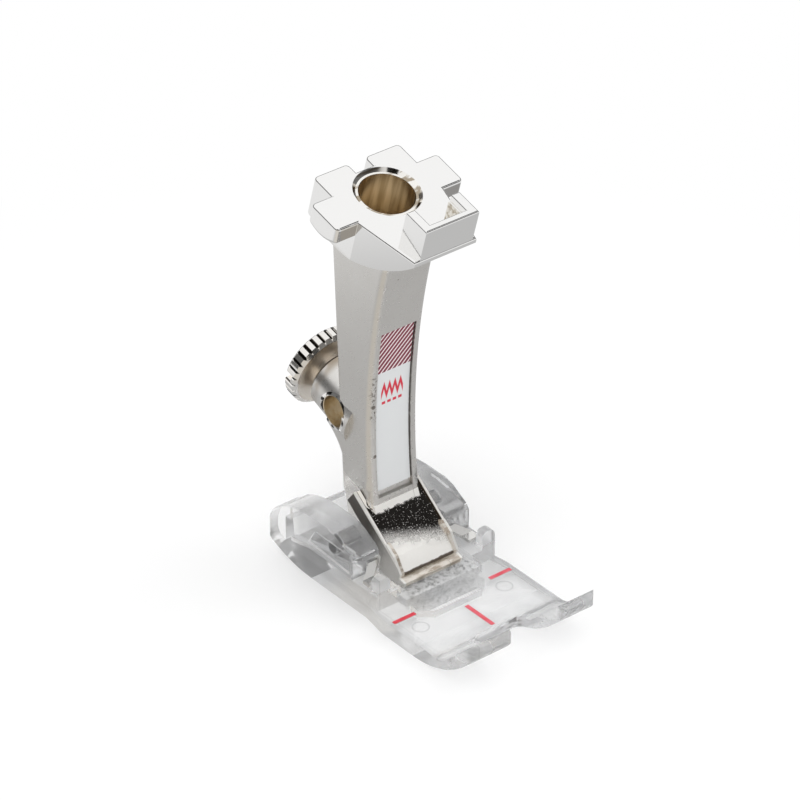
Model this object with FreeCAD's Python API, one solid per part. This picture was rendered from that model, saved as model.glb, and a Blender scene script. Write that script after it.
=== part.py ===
import FreeCAD, Part
import math
import os

V = FreeCAD.Vector

# All sizes are millimetres and degrees.
# The part frame: X across the foot, the toes towards -Y, Z up from the sole's underside.
# The origin is on the underside, on the centre plane, straight below the hinge pin.

# Hinge pin
pin_height = 4.8
pin_radius = 0.75
pin_half_length = 6.4
pin_running_gap = 0.04
pin_end_chamfer = 0.15

# Shank: measured from the centre of the bore at the crown's top face
shank_lean = 15.46
bore_above_pin = 37.83
bore_behind_pin = 10.24

# Crown of the shank: a plate with claws over a round belly
crown_half_width = 5.35
belly_radius = 12.8
belly_middle = 0.5
belly_depth = 5.3
bore_radius = 2.9
bore_depth = 5.6
bore_floor_radius = 1.4
bore_floor_depth = 0.8
ring_radius = 3.5
ring_depth = 0.35
ring_land = 0.25
side_arm_reach = 7.9
side_arm_front = -2.2
side_arm_rear = 2.1
side_arm_front_depth = 1.8
side_arm_middle_depth = 2.6
side_arm_rear_depth = 2.15
claw_corner = 0.5
claw_lower_edge = 0.4
rear_notch_half_width = 1.07
rear_notch_floor = 3.7
rear_arm_reach = 5.08
tongue_tip = 3.85
tongue_reach = 9.37
bracket_half_width = 3.3
bracket_rear = 6.2
bracket_height = 3.8
bracket_side_wall = 1.2
bracket_front_wall = 0.95
bracket_ledge = 0.95
bracket_ledge_depth = 0.15
crown_edge = 0.28
bracket_edge = 0.22

# Neck of the shank
neck_half_width = 3.22
neck_corner = 0.75
neck_front_top = 5.16
neck_front_crest = 4.5
neck_front_radius = 78.0
neck_front_start = 2.6
neck_rear_start = 4.4
neck_rear_top = 4.25
neck_rear_foot = -5.9
neck_foot_above_pin = 3.23
neck_bottom = bore_above_pin - neck_foot_above_pin
web_reach = 1.9
web_below_boss = 2.5
web_foot_above_pin = 3.9
web_bow_y = 0.56
web_bow_z = 0.28
foot_fillet = 0.38

# Boss, guide rod hole and clamp screw
boss_above_pin = 11.13
boss_height = bore_above_pin - boss_above_pin
boss_front = -5.2
boss_rear = 1.45
boss_root_radius = 3.8
boss_end_radius = 3.3
boss_end_chamfer = 0.45
rod_hole_back = 2.75
rod_hole_radius = 1.7
rod_hole_chamfer = 0.2
screw_hole_radius = 1.0
screw_radius = 0.95
screw_tip_gap = 0.3
collar_radius = 2.1
collar_length = 0.7
collar_gap = 0.12
head_radius = 4.55
head_thickness = 1.7
head_front_chamfer = 0.38
head_rear_chamfer = 0.22
knurl_count = 32
knurl_depth = 0.32
slot_width = 1.1
slot_depth = 1.0

# Label and its recess
label_half_width = 2.1
label_top = 13.9
label_above_pin = 5.63
label_bottom = bore_above_pin - label_above_pin
recess_depth = 0.35
recess_margin = 0.12
recess_foot = 0.65
label_thickness = 0.15

# Shoe at the foot of the shank
shoe_half_width = 3.83
shoe_core_half_width = 3.1
shoe_ahead_of_pin = 0.36
shoe_above_pin = 3.98
shoe_top_y = -bore_behind_pin - shoe_ahead_of_pin
shoe_top_z = shoe_above_pin - bore_above_pin
shoe_slope = 21.6
shoe_slope_length = 5.5
shoe_back_length = 2.3
shoe_rail_width = 0.3
shoe_rail_height = 0.16
shoe_ear_width = 0.62
shoe_ear_height = 0.28
shoe_ear_length = 1.7
shoe_lip_run = 1.55
shoe_lip_drop = 1.2
shoe_lip_bulge = 0.12
shoe_thickness = 1.75
nose_step = 0.3
nose_reach = 0.85
nose_height = 1.3
shoe_under_inset = 1.0
core_inset = 0.4
pin_wall = 1.4

# Sole
sole_thickness = 1.7
sole_rear_half_width = 7.65
sole_front_half_width = 8.15
flare_rear = -6.4
flare_front = -9.4
toe_flat_end = -14.4
toe_tip_y = -23.95
toe_tip_rise = 4.9
toe_bend_y = -18.9
toe_bend_run = 0.9
toe_tip_lift = 0.85
toe_tip_lean = 0.85
toe_corner = 2.3
toe_inner_corner = 1.25
notch_half_width = 3.1
notch_back = -17.4
notch_corner = 0.9
stern_flat_end = 2.6
stern_rise_y = 8.8
stern_rise = 1.25
stern_y = 9.75
stern_widest = 2.6
stern_corner = 0.45
stern_middle_y = 8.46
stern_middle_top = 4.0
stern_middle_half = 4.85
stern_wall = 0.82
opening_front = -11.6
opening_front_half = 3.1
opening_chamfer_y = -10.45
opening_half = 4.4
opening_rear = -9.4
bar_rear = -6.9
bar_top = 2.6
stop_gap = 0.02
block_front = -8.15
block_inner = 4.6
block_top = 3.3
finger_inner = 6.0
finger_depth = 1.05
finger_top = 5.35
finger_corner = 0.78
joint_overlap = 0.3
cheek_front = -4.0
cheek_inner = 4.15
cheek_low = 5.5
cheek_shoulder = 7.1
cheek_top = 7.45
recess_frame = 0.35
recess_low = 3.75
recess_high = 6.0
recess_rear = 3.1
recess_inset = 0.3

# Leaf spring, lying under the hinge pin and sloping down to the stern
leaf_thickness = 0.35
leaf_inner = 4.35
leaf_outer = 5.65
leaf_slope = 12.0
leaf_under_pin = 0.3
leaf_front = -4.1
leaf_bar_front = 4.9
leaf_bar_rear = 7.3
leaf_slot_gap = 0.1
tab_inner = 5.75
tab_outer = 7.15
tab_front = -6.3
tab_rear = -5.2

# Printed marks on the sole
mark_y = -10.7
mark_inner = 4.85
mark_margin = 0.5
mark_outer = sole_front_half_width - mark_margin
mark_width = 0.5
middle_mark_rear = -12.9
middle_mark_front = -17.1
mark_depth = 0.06

big = 60.0


def sector(a, b, x0, x1):
    """Box from x0 to x1 between two (y, z) corners."""
    y0, y1 = min(a[0], b[0]), max(a[0], b[0])
    z0, z1 = min(a[1], b[1]), max(a[1], b[1])
    return Part.makeBox(x1 - x0, y1 - y0, z1 - z0, V(x0, y0, z0))


def side_wire(steps, x):
    """Closed wire in the plane of one x from (y, z) corners, arcs as (middle, end) pairs."""
    edges = []
    start = V(x, *steps[0])
    here = start
    for step in steps[1:]:
        if isinstance(step[0], tuple):
            middle = V(x, *step[0])
            end = V(x, *step[1])
            edges.append(Part.Arc(here, middle, end).toShape())
        else:
            end = V(x, *step)
            edges.append(Part.makeLine(here, end))
        here = end
    if here.distanceToPoint(start) > 1e-6:
        edges.append(Part.makeLine(here, start))
    return Part.Wire(edges)


def side_prism(steps, half_width):
    """Solid with a side profile, from -half_width to +half_width."""
    face = Part.Face(side_wire(steps, -half_width))
    return face.extrude(V(2 * half_width, 0, 0))


def side_prism_between(steps, x0, x1):
    """Solid with a side profile, from x0 to x1."""
    face = Part.Face(side_wire(steps, x0))
    return face.extrude(V(x1 - x0, 0, 0))


def plan_prism(points, z0, z1):
    """Solid with a plan outline, from z0 to z1."""
    corners = [V(x, y, z0) for x, y in points]
    wire = Part.makePolygon(corners + corners[:1])
    return Part.Face(wire).extrude(V(0, 0, z1 - z0))


def mirrored(shape):
    return shape.mirror(V(0, 0, 0), V(1, 0, 0))


def both_sides(shape):
    return [shape, mirrored(shape)]


def one_solid(shape):
    """The cleaned single solid of a boolean's result."""
    solids = sorted(shape.removeSplitter().Solids, key=lambda s: -s.Volume)
    return solids[0]


def edges_where(shape, test):
    return [e for e in shape.Edges if test(e)]


def stand_on_hinge(shape):
    """Carries a shape from the bore's frame to its place over the hinge pin."""
    moved = shape.copy()
    moved.translate(V(0, bore_behind_pin, bore_above_pin))
    moved.rotate(V(0, 0, 0), V(1, 0, 0), shank_lean)
    moved.translate(V(0, 0, pin_height))
    return moved


def pin_in_shank():
    """The hinge axis in the bore's frame, as (y, z)."""
    return -bore_behind_pin, -bore_above_pin


def neck_front_y(z, inset=0.0):
    """Front of the neck at a height, a long arc that sweeps towards the toes."""
    drop = -neck_front_crest - z
    radius = neck_front_radius + inset
    return -neck_front_top + inset - (radius - math.sqrt(radius ** 2 - drop ** 2))


def front_arc(z_high, z_low, inset=0.0):
    """Middle and end of the neck's front arc, from z_high down to z_low."""
    middle = (z_high + z_low) / 2
    return ((neck_front_y(middle, inset), middle), (neck_front_y(z_low, inset), z_low))


def crown_outline():
    """Plan outline of the crown without its side claws: two rear claws and the tongue."""
    half = [(rear_notch_half_width, rear_notch_floor), (rear_notch_half_width, rear_arm_reach),
            (crown_half_width, rear_arm_reach), (crown_half_width, side_arm_front),
            (tongue_tip, -tongue_reach)]
    return half + [(-x, y) for x, y in reversed(half)]


def side_claws():
    """Bar across the crown whose ends are the two side claws."""
    middle = (side_arm_front + side_arm_rear) / 2
    bar = side_prism([(side_arm_front, 0), (side_arm_front, -side_arm_front_depth),
                      ((middle, -side_arm_middle_depth), (side_arm_rear, -side_arm_rear_depth)),
                      (side_arm_rear, 0)], side_arm_reach)
    corners = edges_where(bar, lambda e: is_upright(e) and is_at_end(e, side_arm_reach))
    bar = bar.makeFillet(claw_corner, corners)
    lower = edges_where(bar, lambda e: e.BoundBox.ZMax < -side_arm_front_depth + 0.01
                        and is_at_end(e, side_arm_reach) and e.BoundBox.XLength < claw_corner + 0.01)
    bar = bar.makeFillet(claw_lower_edge, lower)
    return bar.makeFillet(crown_edge, edges_where(bar, is_top_rim))


def is_upright(edge):
    box = edge.BoundBox
    return box.ZLength > 1 and box.XLength < 1e-6 and box.YLength < 1e-6


def is_at_end(edge, reach):
    """True for an edge that touches the planes x = reach or x = -reach."""
    box = edge.BoundBox
    return max(abs(box.XMin), abs(box.XMax)) > reach - 1e-3


def is_top_rim(edge):
    """True for an edge in the crown's top plane."""
    box = edge.BoundBox
    return box.ZLength < 1e-6 and abs(box.ZMax) < 1e-6


def crown():
    """Plate with rear claws and a tongue, cut round below, with the side claws across it."""
    plate = plan_prism(crown_outline(), -belly_depth - 1, 0)
    corners = edges_where(plate, lambda e: is_upright(e) and e.BoundBox.YMin > rear_arm_reach - 0.01)
    plate = plate.makeFillet(claw_corner, corners)
    plate = plate.makeFillet(crown_edge, edges_where(plate, is_top_rim))
    belly_axis = V(-big / 2, belly_middle, belly_radius - belly_depth)
    belly = Part.makeCylinder(belly_radius, big, belly_axis, V(1, 0, 0))
    return plate.common(belly).fuse(side_claws())


def bracket():
    """Open box wall that stands on the tongue's tip, open towards the bore."""
    outer = Part.makeBox(2 * bracket_half_width, tongue_reach - bracket_rear, bracket_height,
                         V(-bracket_half_width, -tongue_reach, 0))
    inner_half = bracket_half_width - bracket_side_wall
    inner = Part.makeBox(2 * inner_half, big, big, V(-inner_half, -tongue_reach + bracket_front_wall, 0))
    ledge_half = inner_half + bracket_ledge_depth
    ledge = Part.makeBox(2 * ledge_half, big, big,
                         V(-ledge_half, -tongue_reach + bracket_front_wall - bracket_ledge_depth,
                           bracket_height - bracket_ledge))
    shell = outer.cut(inner).cut(ledge)
    rim = edges_where(shell, lambda e: e.BoundBox.ZMin > bracket_height - 1e-6)
    return shell.makeFillet(bracket_edge, rim)


def bore_cutter():
    """Blind bore with a coned floor and a stepped mouth."""
    barrel = Part.makeCylinder(bore_radius, bore_depth, V(0, 0, -bore_depth))
    floor = Part.makeCone(bore_floor_radius, bore_radius, bore_floor_depth,
                          V(0, 0, -bore_depth - bore_floor_depth))
    step = Part.makeCylinder(bore_radius + ring_land, ring_depth, V(0, 0, -ring_depth))
    mouth = Part.makeCone(bore_radius + ring_land, ring_radius, ring_depth, V(0, 0, -ring_depth))
    return barrel.fuse([floor, step, mouth])


def neck():
    """Long curved neck with rounded corners."""
    body = side_prism([(neck_rear_top, -neck_rear_start), (neck_front_y(-neck_front_start), -neck_front_start),
                       front_arc(-neck_front_start, -neck_bottom), (neck_rear_foot, -neck_bottom)],
                      neck_half_width)
    long_edges = edges_where(body, lambda e: abs(e.Vertexes[0].Z - e.Vertexes[-1].Z) > neck_bottom / 2)
    return body.makeFillet(neck_corner, long_edges)


def neck_rear_y(z):
    """Straight rear of the neck at a height."""
    share = (-neck_rear_start - z) / (neck_bottom - neck_rear_start)
    return neck_rear_top + share * (neck_rear_foot - neck_rear_top)


def web():
    """Hollow sweep from the boss's underside down to the neck's rear."""
    high = -boss_height - web_below_boss
    low = web_foot_above_pin - bore_above_pin
    start = (-web_reach, high)
    end = (neck_rear_y(low) - core_inset, low)
    middle = (start[0] + (end[0] - start[0]) * web_bow_y, high + (low - high) * web_bow_z)
    inside = neck_rear_y(low) - neck_corner * 2
    body = side_prism([(start[0], -boss_height), start, (middle, end), (inside, low), (inside, -boss_height)],
                      neck_half_width)
    swept = edges_where(body, lambda e: e.BoundBox.XLength < 1e-6 and isinstance(e.Curve, Part.Circle))
    return body.makeFillet(neck_corner, swept)


def boss():
    """Round boss behind the neck that holds the guide rod and the screw."""
    length = boss_rear - boss_front
    cone = Part.makeCone(boss_root_radius, boss_end_radius, length, V(0, boss_front, -boss_height), V(0, 1, 0))
    rim = edges_where(cone, lambda e: len(e.Vertexes) == 1 and abs(e.Vertexes[0].Y - boss_rear) < 1e-6)
    return cone.makeChamfer(boss_end_chamfer, rim)


def shoe_frame():
    """Turns a (along, out) pair of the shoe's sloping top into (y, z)."""
    angle = math.radians(shoe_slope)

    def at(along, out):
        y = shoe_top_y - along * math.cos(angle) + out * math.sin(angle) * -1
        z = shoe_top_z - along * math.sin(angle) + out * math.cos(angle)
        return y, z
    return at


def shoe():
    """Sloping slab with a bent front lip, a nose and a core round the hinge pin."""
    at = shoe_frame()
    end = shoe_slope_length
    back = -shoe_back_length
    bend = at(end, 0)
    lip = (bend[0] - shoe_lip_run, bend[1] - shoe_lip_drop)
    belly = at(end + shoe_lip_run / 2, -shoe_lip_drop / 4 + shoe_lip_bulge)
    under = at(end - shoe_under_inset, -shoe_thickness)
    nose_top = lip[1] - nose_step
    nose_foot = nose_top - nose_height
    slab = side_prism([at(back, 0), bend, (belly, lip), (lip[0], nose_foot),
                       (under[0], nose_foot), under, at(back, -shoe_thickness)], shoe_half_width)
    nose = side_prism([(under[0], nose_top), (lip[0] - nose_reach, nose_top),
                       (lip[0] - nose_reach, nose_foot), (under[0], nose_foot)], shoe_half_width)
    py, pz = pin_in_shank()
    ring = pin_radius + pin_wall
    hub = Part.makeCylinder(ring, 2 * shoe_core_half_width, V(-shoe_core_half_width, py, pz), V(1, 0, 0))
    core = side_prism([(lip[0], nose_top), (lip[0], nose_foot), (py, pz - ring), (py + ring, pz),
                       (neck_rear_foot - core_inset, -neck_bottom + core_inset), at(back, -core_inset),
                       at(end - shoe_under_inset, -core_inset)], shoe_core_half_width)
    return slab.fuse([nose, hub, core, foot_strip()] + both_sides(shoe_rail(lip)))


def foot_strip():
    """Small slope that blends the neck's front into the shoe's top."""
    at = shoe_frame()
    top = shoe_top_z
    corner = (neck_front_y(top), top)
    angle = math.radians(shoe_slope)
    ahead = (corner[0] - foot_fillet, top + (corner[0] - foot_fillet - shoe_top_y) * math.tan(angle))
    above = (neck_front_y(top + foot_fillet), top + foot_fillet)
    return side_prism([above, ahead, at(0, -shoe_thickness / 2), (shoe_top_y + 1, above[1])],
                      neck_half_width - neck_corner / 2)


def shoe_rail(lip):
    """Low rail along one edge of the sloping top, with a taller ear in front."""
    at = shoe_frame()
    end = shoe_slope_length
    sunk = -shoe_thickness / 2
    ear_back = end - shoe_ear_length
    ear_front = ear_back + shoe_ear_height
    back = -shoe_back_length
    rail = side_prism_between([at(back, sunk), at(back, shoe_rail_height), at(ear_front, shoe_rail_height),
                               at(ear_front, sunk)], shoe_half_width - shoe_rail_width, shoe_half_width)
    ear = side_prism_between([at(ear_back, sunk), at(ear_back, 0), at(ear_front, shoe_ear_height),
                              at(end, shoe_ear_height), (lip[0], lip[1] + shoe_ear_height / 2), lip,
                              at(end, sunk)], shoe_half_width - shoe_ear_width, shoe_half_width)
    return rail.fuse(ear)


def label_recess():
    """Shallow field for the label on the neck's front, following its curve."""
    top = -label_top + recess_margin
    foot = -label_bottom - recess_foot
    half = label_half_width + recess_margin
    outer = [(neck_front_y(top) - 1.0, top), (neck_front_y(foot) - 1.0, foot),
             (neck_front_y(foot, recess_depth), foot)]
    arc = front_arc(foot, top, recess_depth)
    return side_prism(outer + [arc], half)


def front_strip(z_high, z_low, inset_out, inset_in, half_width):
    """Curved strip that follows the neck's front between two insets."""
    steps = [(neck_front_y(z_high, inset_out), z_high), front_arc(z_high, z_low, inset_out),
             (neck_front_y(z_low, inset_in), z_low), front_arc(z_low, z_high, inset_in)]
    return side_prism(steps, half_width)


def label():
    """Paper-thin plate in the recess."""
    return front_strip(-label_top, -label_bottom, recess_depth - label_thickness, recess_depth,
                       label_half_width)


def screw_cutters():
    """Guide rod hole across the boss and the tapped hole from behind."""
    half = boss_root_radius + 1
    rod = Part.makeCylinder(rod_hole_radius, 2 * half, V(-half, -rod_hole_back, -boss_height), V(1, 0, 0))
    mouth_x = boss_end_radius + 0.15
    mouths = []
    for side in (-1, 1):
        start = V(side * (mouth_x - rod_hole_chamfer), -rod_hole_back, -boss_height)
        mouth = Part.makeCone(rod_hole_radius, rod_hole_radius + 2 * rod_hole_chamfer,
                              2 * rod_hole_chamfer, start, V(side, 0, 0))
        mouths.append(mouth)
    tapped = Part.makeCylinder(screw_hole_radius, boss_rear + rod_hole_back + 1,
                               V(0, -rod_hole_back, -boss_height), V(0, 1, 0))
    return rod.fuse(mouths + [tapped])


def shank():
    body = crown().fuse([bracket(), neck(), web(), boss(), shoe()])
    py, pz = pin_in_shank()
    bore_x = shoe_core_half_width + 2
    pin_bore = Part.makeCylinder(pin_radius + pin_running_gap, 2 * bore_x, V(-bore_x, py, pz),
                                 V(1, 0, 0))
    body = body.cut(bore_cutter().fuse([label_recess(), screw_cutters(), pin_bore]))
    return one_solid(body)


def stop_flat():
    """Room above the crossbar, so that the nose rests on it with a flat."""
    return sector((cheek_front, 0), (toe_tip_y, bar_top + stop_gap), -sole_rear_half_width,
                  sole_rear_half_width)


def clamp_screw():
    """Knurled, slotted head with a collar and a plain shank for the thread."""
    start = boss_rear + collar_gap
    tip = -rod_hole_back + rod_hole_radius + screw_tip_gap
    axis = V(0, 1, 0)
    stem = Part.makeCylinder(screw_radius, start - tip + 0.2, V(0, tip, -boss_height), axis)
    collar = Part.makeCylinder(collar_radius, collar_length, V(0, start, -boss_height), axis)
    head_start = start + collar_length
    front = Part.makeCone(head_radius - head_front_chamfer, head_radius, head_front_chamfer,
                          V(0, head_start, -boss_height), axis)
    middle_length = head_thickness - head_front_chamfer - head_rear_chamfer
    middle = Part.makeCylinder(head_radius, middle_length,
                               V(0, head_start + head_front_chamfer, -boss_height), axis)
    rear = Part.makeCone(head_radius, head_radius - head_rear_chamfer, head_rear_chamfer,
                         V(0, head_start + head_thickness - head_rear_chamfer, -boss_height), axis)
    head = front.fuse([middle, rear])
    head = head.cut(Part.makeCompound(knurl_grooves(head_start)))
    slot_floor = head_start + head_thickness - slot_depth
    slot = Part.makeBox(3 * head_radius, slot_depth + 1, slot_width,
                        V(-1.5 * head_radius, slot_floor, -boss_height - slot_width / 2))
    return one_solid(head.cut(slot).fuse([collar, stem]))


def knurl_grooves(head_start):
    """V grooves along the head's rim."""
    grooves = []
    half = math.pi * head_radius / knurl_count * 0.72
    for index in range(knurl_count):
        angle = 360.0 * (index + 0.5) / knurl_count
        top = head_radius + 0.2
        points = [V(-half, head_start - 0.1, top), V(half, head_start - 0.1, top),
                  V(0, head_start - 0.1, head_radius - knurl_depth)]
        face = Part.Face(Part.makePolygon(points + points[:1]))
        groove = face.extrude(V(0, head_thickness + 0.2, 0))
        groove.rotate(V(0, 0, 0), V(0, 1, 0), angle)
        groove.translate(V(0, 0, -boss_height))
        grooves.append(groove)
    return grooves


def hinge_rod():
    """The pin's plain cylinder, which is also its hole in the sole."""
    start = V(-pin_half_length, 0, pin_height)
    return Part.makeCylinder(pin_radius, 2 * pin_half_length, start, V(1, 0, 0))


def hinge_pin():
    pin = hinge_rod()
    rims = edges_where(pin, lambda e: len(e.Vertexes) == 1)
    return pin.makeChamfer(pin_end_chamfer, rims)


def arc_rise(run, rise):
    """Radius of an arc that leaves level and gains this rise over this run."""
    return (run ** 2 + rise ** 2) / (2 * rise)


def arc_point(y0, z0, radius, run, share):
    """Point on such an arc, a share of the run along it, with the sign of the run."""
    d = run * share
    return y0 + d, z0 + radius - math.sqrt(radius ** 2 - d ** 2)


def base_profile():
    """Side profile of the sole plate, from toe tip to stern."""
    toe_run = toe_tip_y - toe_flat_end
    toe_radius = arc_rise(toe_run, toe_tip_rise)
    top_tip = (toe_tip_y + toe_tip_lean, toe_tip_rise + toe_tip_lift)
    slope = (top_tip[1] - sole_thickness) / (toe_bend_y - top_tip[0])
    lift = toe_bend_run * slope
    bend_start = (toe_bend_y - toe_bend_run, sole_thickness + lift)
    bend_end = (toe_bend_y + toe_bend_run, sole_thickness)
    return [
        (stern_flat_end, 0),
        (toe_flat_end, 0),
        (arc_point(toe_flat_end, 0, toe_radius, toe_run, 0.5), (toe_tip_y, toe_tip_rise)),
        ((toe_tip_y, toe_tip_rise + 0.7 * toe_tip_lift), top_tip),
        bend_start,
        ((toe_bend_y, sole_thickness + lift / 4), bend_end),
        (stern_middle_y - stern_wall - 0.3, sole_thickness),
        (stern_middle_y - stern_wall, stern_middle_top),
        (stern_middle_y, stern_middle_top),
        stern_point(stern_middle_y),
        (stern_point((stern_flat_end + stern_middle_y) / 2), (stern_flat_end, 0)),
    ]


def stern_point(y):
    """Point of the underside where it lifts towards the stern, as (y, z)."""
    run = stern_rise_y - stern_flat_end
    radius = arc_rise(run, stern_rise)
    return arc_point(stern_flat_end, 0, radius, run, (y - stern_flat_end) / run)


def upright_at(block, x, y):
    """The upright edges of a block at plan positions (x, y) and (-x, y)."""
    return edges_where(block, lambda e: e.BoundBox.ZLength > 1 and abs(abs(e.Vertexes[0].X) - x) < 1e-3
                       and abs(e.Vertexes[0].Y - y) < 1e-3)


def sole_outline():
    """Plan outline of the sole with the gap between its toes and rounded corners."""
    a = sole_rear_half_width
    b = sole_front_half_width
    front = toe_tip_y - toe_tip_lean / 3
    half = [(a, stern_y), (a, flare_rear), (b, flare_front), (b, front),
            (notch_half_width, front), (notch_half_width, notch_back)]
    block = plan_prism(half + [(-x, y) for x, y in reversed(half)], -1, big)
    block = block.makeFillet(stern_corner, upright_at(block, a, stern_y))
    block = block.makeFillet(toe_corner, upright_at(block, b, front))
    block = block.makeFillet(toe_inner_corner, upright_at(block, notch_half_width, front))
    return block.makeFillet(notch_corner, upright_at(block, notch_half_width, notch_back))


def needle_opening():
    half = [(opening_half, opening_rear), (opening_half, opening_chamfer_y),
            (opening_front_half, opening_front)]
    return plan_prism(half + [(-x, y) for x, y in reversed(half)], -1, big)


def cheek_profile():
    """Side profile of one cheek, from its upright front round the stern to the underside."""
    shoulder = (stern_y - 1.25, stern_widest + 3.0)
    return [(cheek_front, 0), (cheek_front, cheek_low), (cheek_front + 0.4, cheek_low + 0.5),
            (-1.5, cheek_shoulder), (-0.2, cheek_top), (2.8, cheek_top),
            ((6.6, cheek_top - 0.8), shoulder),
            ((stern_y - 0.35, stern_widest + 1.6), (stern_y, stern_widest)),
            ((stern_y - 0.18, stern_widest - 0.85), (stern_rise_y, stern_rise)),
            (stern_point((stern_flat_end + stern_rise_y) / 2), (stern_flat_end, 0))]


def cheek_recess():
    """Shallow field in a cheek's outer face, on the +X side."""
    field = [(cheek_front + recess_frame, recess_low), (recess_rear, recess_low + 0.5),
             (recess_rear - 1.1, recess_high), (cheek_front + recess_frame, recess_high)]
    return side_prism_between(field, sole_rear_half_width - recess_inset, big / 2)


def front_block():
    """Block and finger in front of one cheek, on the +X side."""
    block = sector((block_front, sole_thickness / 2), (cheek_front + joint_overlap, block_top), block_inner,
                   sole_rear_half_width)
    finger = sector((block_front, sole_thickness), (block_front + finger_depth, finger_top), finger_inner,
                    sole_rear_half_width)
    tops = edges_where(finger, lambda e: e.BoundBox.ZMin > finger_top - 1e-6 and e.BoundBox.XLength < 1e-6)
    finger = finger.makeFillet(finger_corner, tops)
    return block.fuse(finger)


def crossbar():
    """Bar behind the needle opening, under the nose."""
    half = block_inner + joint_overlap
    return sector((opening_rear, sole_thickness / 2), (bar_rear, bar_top), -half, half)


def lay_leaf(shape):
    """Tips a shape about the hinge pin onto the slope of the leaf spring."""
    shape.rotate(V(0, 0, pin_height), V(1, 0, 0), -leaf_slope)
    return shape


def leaf_level():
    """Underside of the leaf spring before it is tipped."""
    return pin_height - pin_radius - leaf_under_pin - leaf_thickness


def spring_slot():
    """Slot for one leg of the leaf spring, open to the inside, on the +X side."""
    low = leaf_level()
    high = low + leaf_thickness + leaf_slot_gap
    leg = sector((cheek_front - 2, low), (leaf_bar_rear + leaf_slot_gap, high), cheek_inner - 1,
                 leaf_outer + leaf_slot_gap)
    mouth = sector((cheek_front - 1, block_top), (cheek_front + 1.2, low + 1.4), cheek_inner - 1,
                   leaf_outer + leaf_slot_gap)
    return lay_leaf(leg).fuse(mouth)


def clear_sole():
    plate = side_prism(base_profile(), big / 2)
    body = plate.common(sole_outline())
    cheek = side_prism_between(cheek_profile(), cheek_inner, big / 2).common(sole_outline())
    cheek = cheek.cut(cheek_recess())
    added = both_sides(cheek) + both_sides(front_block()) + [crossbar()]
    body = body.fuse(added)
    pin_hole = hinge_rod()
    half = stern_middle_half
    dip = sector((stern_middle_y - stern_wall, stern_middle_top), (big, big), -half, half)
    gap = sector((stern_middle_y, -1), (big, stern_middle_top + 1), -half, half)
    body = body.cut([needle_opening(), pin_hole, dip, gap] + both_sides(spring_slot()) + mark_solids())
    return one_solid(body)


def mark_solids():
    """The three printed marks, sunk flush in the sole's top."""
    z0 = sole_thickness - mark_depth
    side = Part.makeBox(mark_outer - mark_inner, mark_width, mark_depth,
                        V(mark_inner, mark_y - mark_width / 2, z0))
    middle = Part.makeBox(mark_width, middle_mark_rear - middle_mark_front, mark_depth,
                          V(-mark_width / 2, middle_mark_front, z0))
    return both_sides(side) + [middle]


def leaf_spring():
    """Flat spring: a cross bar behind, two legs, and a bent tab in front of each cheek."""
    t = leaf_thickness
    low = leaf_level()
    bar = sector((leaf_bar_front, low), (leaf_bar_rear, low + t), -leaf_outer, leaf_outer)
    leg = sector((leaf_front, low), (leaf_bar_rear, low + t), leaf_inner, leaf_outer)
    legs = lay_leaf(bar.fuse(both_sides(leg)))
    ends = [f for f in legs.Faces if f.BoundBox.YMax < leaf_front + 0.2 and f.CenterOfMass.x > 0
            and f.BoundBox.YMax - f.BoundBox.YMin < t]
    tab = sector((tab_front, block_top), (tab_rear, block_top + t), tab_inner, tab_outer)
    root = [f for f in tab.Faces if abs(f.BoundBox.YMin - tab_rear) < 1e-6][0]
    ramp = Part.makeLoft([ends[0].OuterWire, root.OuterWire], True, True)
    return one_solid(legs.fuse(both_sides(ramp.fuse(tab))))


def write(name, shape):
    shape.exportStep(os.path.join("parts", name + ".step"))
    print(name, "valid", shape.isValid(), "solids", len(shape.Solids), "volume", round(shape.Volume, 2))


def main():
    os.makedirs("parts", exist_ok=True)
    write("shank", one_solid(stand_on_hinge(shank()).cut(stop_flat())))
    write("clamp_screw", stand_on_hinge(clamp_screw()))
    write("front_label", stand_on_hinge(label()))
    write("hinge_pin", hinge_pin())
    write("clear_sole", clear_sole())
    for name, mark in zip(("right_mark", "left_mark", "middle_mark"), mark_solids()):
        write(name, mark)
    write("leaf_spring", leaf_spring())


main()
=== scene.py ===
import math
from types import SimpleNamespace

import bmesh
import bpy
from mathutils import Matrix, Vector


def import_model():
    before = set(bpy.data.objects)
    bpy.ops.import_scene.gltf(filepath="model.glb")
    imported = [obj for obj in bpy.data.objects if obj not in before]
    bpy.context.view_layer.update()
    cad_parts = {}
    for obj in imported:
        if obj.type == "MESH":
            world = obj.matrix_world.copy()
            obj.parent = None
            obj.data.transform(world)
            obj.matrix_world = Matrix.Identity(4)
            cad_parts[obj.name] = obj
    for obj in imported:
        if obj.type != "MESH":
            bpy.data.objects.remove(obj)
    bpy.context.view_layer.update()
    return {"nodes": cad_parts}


MM = 0.001

# Camera, measured on the photograph, with its roll in degrees
CAMERA_SPOT = (-0.25759, -0.31981, 0.28272)
CAMERA_AIM = (0.000834, -0.001189, 0.020)
CAMERA_LENS = 219.2
CAMERA_SENSOR = 36.0
CAMERA_ROLL = 0.168
CAMERA_NEAR = 0.01
CAMERA_FAR = 10.0

# Lamps: name, place, width and power
LAMPS = (
    ("key", (-0.20, -0.10, 0.60), 0.5, 1.2),
    ("fill", (0.35, -0.15, 0.35), 0.4, 0.4),
)
LAMP_AIM = (0, 0, 0.02)

# Floor, in metres from the part's origin, with the grey levels that metal mirrors, painted darker near
# the part
FLOOR_RADIUS = 1.5
FLOOR_SIDES = 96
SHADOW_START = 0.028
SHADOW_END = 0.085
MIRRORED_START = 0.045
MIRRORED_END = 0.075
MIRRORED_LEVELS = (0.54, 0.86)

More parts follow.
